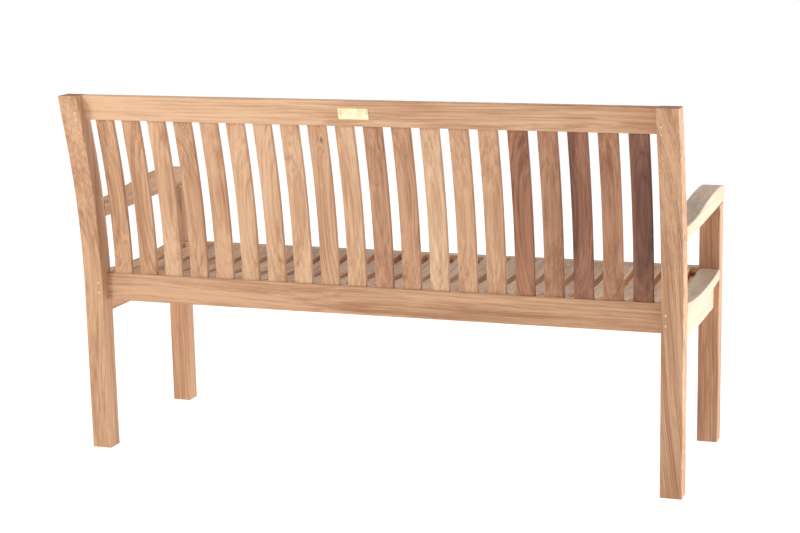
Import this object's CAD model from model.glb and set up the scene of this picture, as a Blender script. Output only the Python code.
import math
import random

import bpy
from mathutils import Euler, Matrix, Vector


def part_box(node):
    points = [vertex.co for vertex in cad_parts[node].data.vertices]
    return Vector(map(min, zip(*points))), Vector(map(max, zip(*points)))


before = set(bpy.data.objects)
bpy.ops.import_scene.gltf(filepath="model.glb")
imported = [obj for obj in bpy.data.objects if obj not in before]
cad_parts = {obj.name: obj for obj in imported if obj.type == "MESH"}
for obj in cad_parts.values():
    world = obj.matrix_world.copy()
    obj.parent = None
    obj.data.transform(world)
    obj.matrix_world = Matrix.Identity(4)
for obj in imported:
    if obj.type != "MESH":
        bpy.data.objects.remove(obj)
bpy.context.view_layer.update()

# ------------------------------------------------------------------ camera
CAMERA_PLACE = Vector((-1.508, 4.198, 1.375))
CAMERA_AZIMUTH = math.radians(199.705)
CAMERA_ELEVATION = math.radians(11.626)
CAMERA_ROLL = math.radians(-1.165)
CAMERA_LENS = 83.33


def looking(azimuth, elevation, roll=0.0):
    """Turn of a camera or lamp that looks down at the bench from an azimuth and an elevation."""
    back = Vector((
        math.sin(azimuth) * math.cos(elevation),
        -math.cos(azimuth) * math.cos(elevation),
        math.sin(elevation),
    ))
    level = Vector((math.cos(azimuth), math.sin(azimuth), 0.0))
    upright = back.cross(level)
    right = level * math.cos(roll) + upright * math.sin(roll)
    up = upright * math.cos(roll) - level * math.sin(roll)
    return Matrix((right, up, back)).transposed()


lens = bpy.data.cameras.new("camera")
lens.lens = CAMERA_LENS
lens.sensor_width = 36.0
lens.clip_end = 120.0
camera = bpy.data.objects.new("camera", lens)
camera.matrix_world = Matrix.Translation(CAMERA_PLACE) @ looking(
    CAMERA_AZIMUTH, CAMERA_ELEVATION, CAMERA_ROLL
).to_4x4()
bpy.context.scene.collection.objects.link(camera)
bpy.context.scene.camera = camera
bpy.context.scene.view_settings.view_transform = "Standard"


# ------------------------------------------------------------------ studio
def softbox(name, place, target, width, height, power, colour):
    """A soft rectangular lamp at a place, facing a target."""
    light = bpy.data.lights.new(name, "AREA")
    light.shape = "RECTANGLE"
    light.size = width
    light.size_y = height
    light.energy = power
    light.color = colour
    lamp = bpy.data.objects.new(name, light)
    lamp.location = place
    lamp.rotation_mode = "QUATERNION"
    lamp.rotation_quaternion = (Vector(target) - Vector(place)).to_track_quat("-Z", "Y")
    bpy.context.scene.collection.objects.link(lamp)
    return lamp


WARM_WHITE = (1.0, 0.955, 0.90)
COOL_WHITE = (0.93, 0.97, 1.0)
softbox("key_softbox", (2.0, 2.3, 2.5), (0.3, 0.1, 0.5), 0.6, 0.6, 56.0, WARM_WHITE)
softbox("side_softbox", (-2.6, -0.2, 0.75), (0.0, -0.1, 0.35), 1.0, 1.3, 43.0, COOL_WHITE)
softbox("overhead_softbox", (0.0, -0.4, 3.4), (0.0, 0.0, 0.4), 2.6, 1.6, 15.0, COOL_WHITE)
softbox("sitter_side_softbox", (0.8, -3.6, 2.2), (0.0, 0.0, 0.4), 2.4, 1.6, 24.0, COOL_WHITE)

# ------------------------------------------------------------------ node helpers
class Tree:
    """Short ways to add and join the nodes of one material or group."""

    def __init__(self, tree):
        self.tree = tree

    def node(self, kind, inputs=None, **settings):
        """Add a node, set its settings, and give its inputs values or links by name or number."""
        made = self.tree.nodes.new(kind)
        for key, value in settings.items():
            setattr(made, key, value)
        for key, value in (inputs or {}).items():
            self.feed(made.inputs[key], value)
        return made

    def feed(self, socket, value):
        if isinstance(value, bpy.types.NodeSocket):
            self.tree.links.new(value, socket)
        else:
            socket.default_value = value

    def maths(self, operation, first, second=0.0, third=0.0, clamp=False):
        made = self.node("ShaderNodeMath", operation=operation, use_clamp=clamp)
        for socket, value in zip(made.inputs, (first, second, third)):
            self.feed(socket, value)
        return made.outputs[0]

    def vector(self, operation, first, second=(0.0, 0.0, 0.0), out="Vector"):
        made = self.node("ShaderNodeVectorMath", operation=operation)
        self.feed(made.inputs[0], first)
        self.feed(made.inputs[1], second)
        return made.outputs[out]

    def stretch(self, place, across, along):
        """Scale board coordinates by one figure across the grain and another along it."""
        return self.vector("MULTIPLY", place, (across, across, along))

    def noise(self, place, detail=2.0, roughness=0.5, out="Factor"):
        made = self.node(
            "ShaderNodeTexNoise",
            {"Vector": place, "Scale": 1.0, "Detail": detail, "Roughness": roughness},
        )
        return made.outputs["Color" if out == "Color" else 0]

    def ease(self, value, low, high):
        """Smooth step from 0 at low to 1 at high."""
        made = self.node("ShaderNodeMapRange", interpolation_type="SMOOTHSTEP")
        for key, figure in (("Value", value), ("From Min", low), ("From Max", high)):
            self.feed(made.inputs[key], figure)
        return made.outputs["Result"]

    def blend(self, share, first, second, mode="MIX"):
        made = self.node("ShaderNodeMix", data_type="RGBA", blend_type=mode)
        for key, value in (("Factor_Float", share), ("A_Color", first), ("B_Color", second)):
            socket = next(item for item in made.inputs if item.identifier == key)
            self.feed(socket, value)
        return next(item for item in made.outputs if item.identifier == "Result_Color")

    def curve(self, value, points):
        """Shape a 0 to 1 value by a list of (place, level) points."""
        made = self.node("ShaderNodeValToRGB", {"Fac": value})
        ramp = made.color_ramp
        ramp.interpolation = "EASE"
        for place, level in points[1:-1]:
            ramp.elements.new(place)
        for element, (place, level) in zip(ramp.elements, points):
            element.position = place
            element.color = (level, level, level, 1.0)
        return made.outputs["Color"]


# Sines of the elevations where the white walls end and the ceiling begins, and how bright each is.
WALL_TOP = 0.24
CEILING_EDGE = 0.44
WALL_LIGHT = 0.92
CEILING_LIGHT = 0.16


def studio_room():
    """White walls low down that fade to a dim ceiling."""
    room = bpy.data.worlds.new("studio_room")
    room.use_nodes = True
    t = Tree(room.node_tree)
    background = room.node_tree.nodes["Background"]
    background.inputs["Color"].default_value = (1.0, 0.99, 0.975, 1.0)
    direction = t.node("ShaderNodeTexCoord").outputs["Generated"]
    height = t.vector("DOT_PRODUCT", direction, (0.0, 0.0, 1.0), out="Value")
    ceiling = t.ease(height, WALL_TOP, CEILING_EDGE)
    light = t.maths("MULTIPLY_ADD", ceiling, CEILING_LIGHT - WALL_LIGHT, WALL_LIGHT)
    t.feed(background.inputs["Strength"], light)
    bpy.context.scene.world = room


studio_room()


def paint(red, green, blue):
    """A colour given as 0 to 255 display figures, as linear light."""
    linear = []
    for level in (red, green, blue):
        share = level / 255.0
        linear.append(share / 12.92 if share <= 0.04045 else ((share + 0.055) / 1.055) ** 2.4)
    return (*linear, 1.0)


# ------------------------------------------------------------------ teak
# How dark the wood is through one year's growth, from one ring line to the next.
RING_PROFILE = ((0.0, 1.0), (0.10, 0.62), (0.30, 0.16), (0.62, 0.06), (0.86, 0.22), (1.0, 1.0))
RING_CONTRAST = 0.55

# Wander of the fibres: cells to a metre across the grain, the same along it, detail, and reach in metres.
SLOW_WANDER = (5.0, 1.6, 1.0, 0.020)
MIDDLING_WANDER = (22.0, 5.5, 2.0, 0.0045)
FINE_WANDER = (130.0, 18.0, 1.0, 0.0011)

# How far each layer of the pattern moves a board between its pale and its deep tone.
CLOUD_SHARE = 0.30
THREAD_SHARE = 0.70
FIBRE_SHARE = 1.25
BASE_TONE = 0.34
END_GRAIN_SHADE = 0.55
SAWN_EDGE_SHADE = 0.45
PORE_SHADE = 0.34
PORE_COLOUR = (96, 58, 38)
BUMP_DEPTH = 0.00035


def add_socket(tree, name, kind, default=None, direction="INPUT"):
    socket = tree.interface.new_socket(name=name, in_out=direction, socket_type=kind)
    if default is not None:
        socket.default_value = default
    return socket


def teak_figure():
    """The growth rings, streaks, pores and knots of a sawn board, from its own coordinates.

    The coordinates have the tree's heart along Z, so each board shows the arches, straight
    lines or end rings that its place in the tree gives it.
    """
    group = bpy.data.node_groups.new("teak_figure", "ShaderNodeTree")
    for name, kind, default in (
        ("Board place", "NodeSocketVector", None),
        ("Grain direction", "NodeSocketVector", (0.0, 0.0, 1.0)),
        ("Ring width", "NodeSocketFloat", 0.004),
        ("Ring strength", "NodeSocketFloat", 0.6),
        ("Waviness", "NodeSocketFloat", 1.0),
        ("Streaks", "NodeSocketFloat", 0.5),
        ("Stripe share", "NodeSocketFloat", 0.0),
        ("Knot place", "NodeSocketVector", (0.0, 0.0, 9.0)),
        ("Knot size", "NodeSocketFloat", 0.02),
        ("Sawn edge direction", "NodeSocketVector", (0.0, 0.0, 0.0)),
        ("Deepening", "NodeSocketFloat", 0.0),
        ("Deepening start", "NodeSocketFloat", 0.0),
        ("Pale", "NodeSocketColor", (0.6, 0.4, 0.25, 1.0)),
        ("Deep", "NodeSocketColor", (0.4, 0.22, 0.12, 1.0)),
        ("Stripe", "NodeSocketColor", (0.12, 0.05, 0.04, 1.0)),
    ):
        add_socket(group, name, kind, default)
    for name, kind in (
        ("Colour", "NodeSocketColor"),
        ("Roughness", "NodeSocketFloat"),
        ("Height", "NodeSocketFloat"),
    ):
        add_socket(group, name, kind, direction="OUTPUT")
    t = Tree(group)
    given = t.node("NodeGroupInput").outputs
    place = given["Board place"]

    # Slow, middling and fine wander of the fibres.
    wander = None
    for across, along, detail, reach in (SLOW_WANDER, MIDDLING_WANDER, FINE_WANDER):
        drift = t.noise(t.stretch(place, across, along), detail, out="Color")
        drift = t.vector("SUBTRACT", drift, (0.5, 0.5, 0.5))
        drift = t.vector("MULTIPLY", drift, (reach, reach, 0.0))
        wander = drift if wander is None else t.vector("ADD", wander, drift)
    waviness = {0: given["Waviness"], 1: given["Waviness"], 2: 0.0}
    wander = t.vector("MULTIPLY", wander, t.node("ShaderNodeCombineXYZ", waviness).outputs[0])
    bent = t.vector("ADD", place, wander)

    # A knot pushes the rings aside and is dark in the middle.
    from_knot = t.vector("MULTIPLY", t.vector("SUBTRACT", bent, given["Knot place"]), (1.0, 1.0, 0.42))
    knot_reach = t.maths("DIVIDE", t.vector("LENGTH", from_knot, out="Value"), given["Knot size"])
    knot_swell = t.maths("EXPONENT", t.maths("MULTIPLY", t.maths("MULTIPLY", knot_reach, knot_reach), -1.0))
    knot_heart = t.maths("SUBTRACT", 1.0, t.ease(knot_reach, 0.12, 0.42))

    flat = t.vector("MULTIPLY", bent, (1.0, 1.0, 0.0))
    radius = t.vector("LENGTH", flat, out="Value")
    knot_push = t.maths("MULTIPLY", knot_swell, t.maths("MULTIPLY", given["Knot size"], 0.9))
    radius = t.maths("ADD", radius, knot_push)
    seasons = t.maths("DIVIDE", radius, given["Ring width"])
    along_radius = {0: t.maths("MULTIPLY", seasons, 0.33), 1: 3.1, 2: 7.7}
    good_years = t.noise(t.node("ShaderNodeCombineXYZ", along_radius).outputs[0], 1.0)
    seasons = t.maths("ADD", seasons, t.maths("MULTIPLY", good_years, 1.5))
    ring = t.curve(t.maths("FRACT", seasons), RING_PROFILE)
    hard_years = t.maths("MULTIPLY_ADD", t.ease(good_years, 0.3, 0.72), 0.75, 0.25)
    ring_contrast = t.maths("MULTIPLY", given["Ring strength"], RING_CONTRAST)
    ring = t.maths("MULTIPLY", t.maths("MULTIPLY", ring, hard_years), ring_contrast)

    # Long soft streaks follow the grain, and a few boards carry dark stripes.
    streak_place = {
        0: t.maths("MULTIPLY", radius, 52.0),
        1: t.vector("DOT_PRODUCT", bent, (17.0, 17.0, 0.0), out="Value"),
        2: t.vector("DOT_PRODUCT", bent, (0.0, 0.0, 1.5), out="Value"),
    }
    streak_place = t.node("ShaderNodeCombineXYZ", streak_place).outputs[0]
    streak = t.ease(t.noise(streak_place, 3.0, 0.6), 0.28, 0.74)
    thread_place = t.vector("MULTIPLY", streak_place, (6.5, 6.5, 1.6))
    thread = t.ease(t.noise(thread_place, 3.0, 0.65), 0.25, 0.75)
    stripe_place = t.vector("MULTIPLY_ADD", streak_place, (1.25, 1.6, 0.5))
    stripe = t.ease(t.noise(stripe_place, 2.0, 0.5), 0.44, 0.66)
    cloud = t.ease(t.noise(t.stretch(bent, 16.0, 4.2), 3.0, 0.6), 0.3, 0.72)

    # Fibres and open pores, finer than the rings.
    fibre = t.noise(t.stretch(bent, 480.0, 5.0), 3.0, 0.68)
    pore = t.ease(t.noise(t.stretch(bent, 1150.0, 34.0), 1.0, 0.5), 0.60, 0.72)
    pore = t.maths("MULTIPLY", pore, t.maths("MULTIPLY_ADD", ring, 0.6, 0.4))

    figure = t.maths("MULTIPLY", t.maths("SUBTRACT", streak, 0.5), given["Streaks"])
    for layer, share in ((cloud, CLOUD_SHARE), (thread, THREAD_SHARE), (fibre, FIBRE_SHARE)):
        figure = t.maths("ADD", figure, t.maths("MULTIPLY", t.maths("SUBTRACT", layer, 0.5), share))
    figure = t.maths("ADD", figure, ring)
    lengthwise = t.vector("DOT_PRODUCT", place, (0.0, 0.0, 1.0), out="Value")
    lengthwise = t.maths("SUBTRACT", lengthwise, given["Deepening start"])
    figure = t.maths("ADD", figure, t.maths("MULTIPLY", lengthwise, given["Deepening"]))
    figure = t.maths("ADD", figure, BASE_TONE, clamp=True)

    facing = t.node("ShaderNodeNewGeometry").outputs["Normal"]
    end_grain = t.vector("DOT_PRODUCT", facing, given["Grain direction"], out="Value")
    end_grain = t.ease(t.maths("ABSOLUTE", end_grain), 0.72, 0.97)
    sawn_edge = t.vector("DOT_PRODUCT", facing, given["Sawn edge direction"], out="Value")
    sawn_edge = t.ease(t.maths("ABSOLUTE", sawn_edge), 0.80, 0.98)

    colour = t.blend(figure, given["Pale"], given["Deep"])
    colour = t.blend(t.maths("MULTIPLY", stripe, given["Stripe share"]), colour, given["Stripe"])
    colour = t.blend(t.maths("MULTIPLY", knot_heart, 0.8), colour, given["Stripe"])
    colour = t.blend(t.maths("MULTIPLY", pore, PORE_SHADE), colour, paint(*PORE_COLOUR))
    for face, shade in ((end_grain, END_GRAIN_SHADE), (sawn_edge, SAWN_EDGE_SHADE)):
        colour = t.blend(t.maths("MULTIPLY", face, shade), colour, given["Deep"], "MULTIPLY")

    roughness = t.maths("MULTIPLY_ADD", ring, -0.10, 0.60)
    roughness = t.maths("ADD", roughness, t.maths("MULTIPLY", pore, 0.14))
    roughness = t.maths("ADD", roughness, t.maths("MULTIPLY", t.maths("SUBTRACT", fibre, 0.5), 0.16))
    roughness = t.maths("ADD", roughness, t.maths("MULTIPLY", end_grain, 0.10), clamp=True)
    height = t.maths("MULTIPLY_ADD", ring, 0.30, 0.5)
    height = t.maths("ADD", height, t.maths("MULTIPLY", fibre, 0.28))
    height = t.maths("SUBTRACT", height, t.maths("MULTIPLY", pore, 0.42))
    t.node("NodeGroupOutput", {"Colour": colour, "Roughness": roughness, "Height": height})
    return group


FIGURE = teak_figure()


def teak(name, tone, centre, grain, heart, ring_width=0.004, ring_strength=0.6, waviness=1.0,
         streaks=0.5, stripe_share=0.0, knot=None, knot_size=0.014, sawn_edge=(0.0, 0.0, 0.0),
         deepening=0.0):
    """The finish of one board.

    tone: name in TONES. centre: middle of the board. grain: Euler turn that takes Z to the
    board's length. heart: from the middle of the board to the tree's heart, across the grain,
    with a third figure that slides the pattern along it. knot: place from the board's middle.
    sawn_edge: direction the rough edges face, which are a deeper colour.
    deepening: how much deeper the tone grows in each metre along the grain.
    """
    pale, deep, stripe = (paint(*colour) for colour in TONES[tone])
    made = bpy.data.materials.new(name)
    made.use_nodes = True
    t = Tree(made.node_tree)
    shader = made.node_tree.nodes["Principled BSDF"]
    turn = grain.to_matrix()
    origin = Vector(centre) + turn @ Vector(heart)
    mapping = t.node("ShaderNodeMapping", vector_type="TEXTURE")
    t.feed(mapping.inputs["Vector"], t.node("ShaderNodeTexCoord").outputs["Object"])
    t.feed(mapping.inputs["Location"], tuple(origin))
    t.feed(mapping.inputs["Rotation"], tuple(grain))
    inputs = {
        "Board place": mapping.outputs["Vector"],
        "Grain direction": tuple(turn @ Vector((0.0, 0.0, 1.0))),
        "Ring width": ring_width,
        "Ring strength": ring_strength,
        "Waviness": waviness,
        "Streaks": streaks,
        "Stripe share": stripe_share,
        "Sawn edge direction": sawn_edge,
        "Deepening": deepening,
        "Deepening start": -heart[2],
        "Pale": pale,
        "Deep": deep,
        "Stripe": stripe,
    }
    if knot is not None:
        inputs["Knot place"] = tuple(Vector(knot) - Vector(heart))
        inputs["Knot size"] = knot_size
    figure = t.node("ShaderNodeGroup", node_tree=FIGURE)
    for key, value in inputs.items():
        t.feed(figure.inputs[key], value)
    relief = {"Strength": 1.0, "Distance": BUMP_DEPTH, "Height": figure.outputs["Height"]}
    bump = t.node("ShaderNodeBump", relief)
    t.feed(shader.inputs["Base Color"], figure.outputs["Colour"])
    t.feed(shader.inputs["Roughness"], figure.outputs["Roughness"])
    t.feed(shader.inputs["Normal"], bump.outputs["Normal"])
    shader.inputs["Specular IOR Level"].default_value = 0.35
    return made


# Each tone is pale wood, deep wood and the colour of its stripes and knots.
TONES = {
    "cream": ((218, 196, 172), (190, 158, 130), (146, 108, 84)),
    "straw": ((228, 192, 158), (182, 136, 101), (126, 82, 58)),
    "honey": ((220, 180, 145), (174, 126, 92), (120, 76, 53)),
    "tan": ((211, 168, 133), (163, 116, 84), (110, 69, 49)),
    "fawn": ((202, 156, 123), (152, 105, 77), (102, 62, 47)),
    "russet": ((190, 142, 110), (134, 88, 63), (91, 53, 42)),
    "chestnut": ((182, 130, 99), (125, 79, 57), (82, 47, 39)),
    "umber": ((164, 114, 88), (108, 67, 51), (72, 41, 38)),
    "plum": ((152, 104, 82), (98, 62, 49), (68, 42, 42)),
}

UPRIGHT = Euler((0.0, 0.0, 0.0))
ALONG_X = Euler((0.0, math.radians(90.0), 0.0))
ALONG_Y = Euler((math.radians(-90.0), 0.0, 0.0))


def finish_node(name, material):
    """Give a carried-over piece its finish in every material slot."""
    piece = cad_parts[name]
    if not piece.material_slots:
        piece.data.materials.append(material)
    for slot in piece.material_slots:
        slot.material = material


def middle(name):
    low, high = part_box(name)
    return (low + high) / 2


def finish_board(name, tone, grain, heart, **character):
    finish_node(name, teak(name + "_teak", tone, middle(name), grain, heart, **character))


# ------------------------------------------------------------------ back slats
# Slat 01 is at the sitter's right hand. Tone, ring strength, stripe share.
BACK_SLATS = {
    1: ("plum", 0.5, 0.6), 2: ("russet", 0.5, 0.1), 3: ("umber", 0.6, 0.4), 4: ("russet", 0.75, 0.15),
    5: ("chestnut", 0.8, 0.15), 6: ("tan", 0.5, 0.0), 7: ("tan", 0.6, 0.05), 8: ("straw", 0.5, 0.0),
    9: ("fawn", 0.65, 0.0), 10: ("fawn", 0.6, 0.05), 11: ("honey", 0.5, 0.0), 12: ("tan", 0.5, 0.0),
    13: ("honey", 0.5, 0.0), 14: ("honey", 0.55, 0.05), 15: ("honey", 0.5, 0.0), 16: ("tan", 0.6, 0.0),
    17: ("tan", 0.6, 0.05), 18: ("honey", 0.6, 0.05), 19: ("tan", 0.75, 0.0), 20: ("tan", 0.8, 0.05),
}
SLAT_KNOTS = {10: (0.006, 0.0, 0.075), 20: (-0.004, 0.0, -0.12), 12: (-0.008, 0.0, 0.16)}
draw = random.Random(31)
for number, (tone, ring_strength, stripe_share) in BACK_SLATS.items():
    name = "back_slat_%02d" % number
    low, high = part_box(name)
    lean = math.atan2(high.y - low.y - 0.011, high.z - low.z)
    grain = Euler((-lean + draw.uniform(-0.02, 0.02), draw.uniform(-0.03, 0.03), 0.0))
    heart = (draw.uniform(-0.035, 0.035), -draw.uniform(0.035, 0.10), draw.uniform(-9.0, 9.0))
    finish_board(
        name, tone, grain, heart, ring_width=draw.uniform(0.0032, 0.0055), ring_strength=ring_strength,
        waviness=draw.uniform(0.8, 1.3), streaks=draw.uniform(0.4, 0.7), stripe_share=stripe_share,
        knot=SLAT_KNOTS.get(number), knot_size=0.011,
    )

# ------------------------------------------------------------------ seat slats
SEAT_TONES = ("straw", "honey", "honey", "straw", "tan", "honey", "straw", "honey", "honey", "straw")
draw = random.Random(57)
for number in range(1, 21):
    grain = Euler((math.radians(-90.0) + draw.uniform(-0.02, 0.02), 0.0, draw.uniform(-0.03, 0.03)))
    sideways = draw.uniform(-0.04, 0.04)
    depth = draw.choice((-1, 1)) * draw.uniform(0.03, 0.09)
    heart = (sideways, depth, draw.uniform(-9.0, 9.0))
    finish_board(
        "seat_slat_%02d" % number, SEAT_TONES[number % len(SEAT_TONES)], grain, heart,
        ring_width=draw.uniform(0.0032, 0.0055), ring_strength=draw.uniform(0.4, 0.7),
        waviness=draw.uniform(0.8, 1.3), streaks=draw.uniform(0.4, 0.7), sawn_edge=(1.0, 0.0, 0.0),
    )

# ------------------------------------------------------------------ rails, legs and arms
finish_board("top_back_rail", "honey", Euler((0.0, math.radians(90.6), 0.0)), (0.02, -0.055, 2.0),
             ring_width=0.005, ring_strength=0.55, waviness=1.2, streaks=0.7, deepening=-0.45)
finish_board("lower_back_rail", "tan", Euler((0.0, math.radians(89.3), 0.0)), (0.012, -0.065, -3.0),
             ring_width=0.0048, ring_strength=0.5, waviness=1.2, streaks=0.7, deepening=-0.1)
finish_board("front_seat_rail", "honey", ALONG_X, (0.02, 0.07, 5.0), streaks=0.6)
finish_board("left_side_seat_rail", "honey", ALONG_Y, (0.05, 0.02, 1.0), streaks=0.5)
finish_board("right_side_seat_rail", "cream", ALONG_Y, (-0.05, 0.01, -1.0), ring_strength=0.4, streaks=0.35)
finish_board("left_side_seat_slat", "honey", ALONG_Y, (0.01, 0.06, 3.0))
finish_board("right_side_seat_slat", "cream", ALONG_Y, (-0.01, 0.06, -4.0), ring_width=0.005,
             ring_strength=0.4, streaks=0.35)
finish_board("left_armrest", "honey", ALONG_Y, (0.02, 0.07, 6.0), ring_width=0.005)
finish_board("right_armrest", "cream", ALONG_Y, (-0.02, 0.08, -6.0), ring_width=0.005,
             ring_strength=0.35, streaks=0.3)
finish_board("left_rear_leg", "tan", Euler((math.radians(-2.0), 0.0, 0.0)), (0.03, -0.10, 0.4),
             ring_width=0.0042, streaks=0.6)
finish_board("right_rear_leg", "tan", Euler((math.radians(-1.0), math.radians(5.0), 0.0)),
             (0.055, -0.02, -0.3), ring_width=0.0042, ring_strength=1.0, waviness=1.5, streaks=0.6,
             knot=(0.0, 0.06, -0.28), knot_size=0.01)
finish_board("left_front_leg", "tan", UPRIGHT, (0.03, 0.05, 1.4), streaks=0.6)
finish_board("right_front_leg", "fawn", Euler((math.radians(1.0), 0.0, 0.0)), (-0.03, 0.05, -1.4),
             streaks=0.7, knot=(0.0, 0.02, -0.16), knot_size=0.01)


# ------------------------------------------------------------------ pegs
def peg_finish():
    """Light hardwood pegs whose round ends show end grain."""
    made = bpy.data.materials.new("peg_end_grain")
    made.use_nodes = True
    t = Tree(made.node_tree)
    shader = made.node_tree.nodes["Principled BSDF"]
    place = t.node("ShaderNodeTexCoord").outputs["Object"]
    speckle = t.noise(t.vector("MULTIPLY", place, (1400.0, 90.0, 1400.0)), 2.0, 0.6)
    cloud = t.noise(t.vector("MULTIPLY", place, (260.0, 60.0, 260.0)), 1.0)
    share = t.maths("MULTIPLY_ADD", speckle, 0.6, t.maths("MULTIPLY_ADD", cloud, 0.6, -0.1), clamp=True)
    t.feed(shader.inputs["Base Color"], t.blend(share, paint(246, 222, 190), paint(196, 150, 108)))
    t.feed(shader.inputs["Roughness"], t.maths("MULTIPLY_ADD", speckle, 0.2, 0.45))
    bump = t.node("ShaderNodeBump", {"Strength": 0.5, "Distance": 0.0003, "Height": speckle})
    t.feed(shader.inputs["Normal"], bump.outputs["Normal"])
    return made


PEG_FINISH = peg_finish()
for side in ("left", "right"):
    finish_node(side + "_joint_pegs", PEG_FINISH)


# ------------------------------------------------------------------ plate
def brass(name, brushed):
    """Pale lacquered brass, brushed along the plate, a little dull in patches."""
    made = bpy.data.materials.new(name)
    made.use_nodes = True
    t = Tree(made.node_tree)
    shader = made.node_tree.nodes["Principled BSDF"]
    place = t.node("ShaderNodeTexCoord").outputs["Object"]
    lines = t.noise(t.vector("MULTIPLY", place, (40.0, 2200.0, 2200.0)), 2.0, 0.6)
    patches = t.ease(t.noise(t.vector("MULTIPLY", place, (60.0, 60.0, 60.0)), 3.0, 0.6), 0.35, 0.7)
    tarnish = t.blend(patches, paint(252, 244, 212), paint(238, 220, 172))
    colour = t.blend(t.maths("MULTIPLY", lines, 0.25), tarnish, paint(206, 180, 128))
    t.feed(shader.inputs["Base Color"], colour)
    dullness = t.maths("MULTIPLY_ADD", patches, 0.12, 0.3)
    t.feed(shader.inputs["Roughness"], t.maths("MULTIPLY_ADD", lines, brushed, dullness))
    bump = t.node("ShaderNodeBump", {"Strength": 0.4, "Distance": 0.0001, "Height": lines})
    t.feed(shader.inputs["Normal"], bump.outputs["Normal"])
    shader.inputs["Metallic"].default_value = 0.85
    return made


finish_node("name_plate", brass("plate_brass", 0.25))
finish_node("plate_pins", brass("pin_brass", 0.1))

# ------------------------------------------------------------------ floor
FLOOR_HALF = 40.0
FLOOR_ALBEDO = 0.42
FLOOR_GLOW = 0.90
sheet = bpy.data.meshes.new("studio_floor")
sheet.from_pydata(
    [(-FLOOR_HALF, -FLOOR_HALF, 0.0), (FLOOR_HALF, -FLOOR_HALF, 0.0),
     (FLOOR_HALF, FLOOR_HALF, 0.0), (-FLOOR_HALF, FLOOR_HALF, 0.0)],
    [], [(0, 1, 2, 3)],
)
floor = bpy.data.objects.new("studio_floor", sheet)
bpy.context.scene.collection.objects.link(floor)
floor_paint = bpy.data.materials.new("pale_floor")
floor_paint.use_nodes = True
floor_shader = floor_paint.node_tree.nodes["Principled BSDF"]
floor_shader.inputs["Base Color"].default_value = (FLOOR_ALBEDO, FLOOR_ALBEDO, FLOOR_ALBEDO, 1.0)
floor_shader.inputs["Emission Color"].default_value = (1.0, 0.995, 0.985, 1.0)
floor_shader.inputs["Emission Strength"].default_value = FLOOR_GLOW
floor_shader.inputs["Roughness"].default_value = 0.8
floor_shader.inputs["Specular IOR Level"].default_value = 0.2
sheet.materials.append(floor_paint)
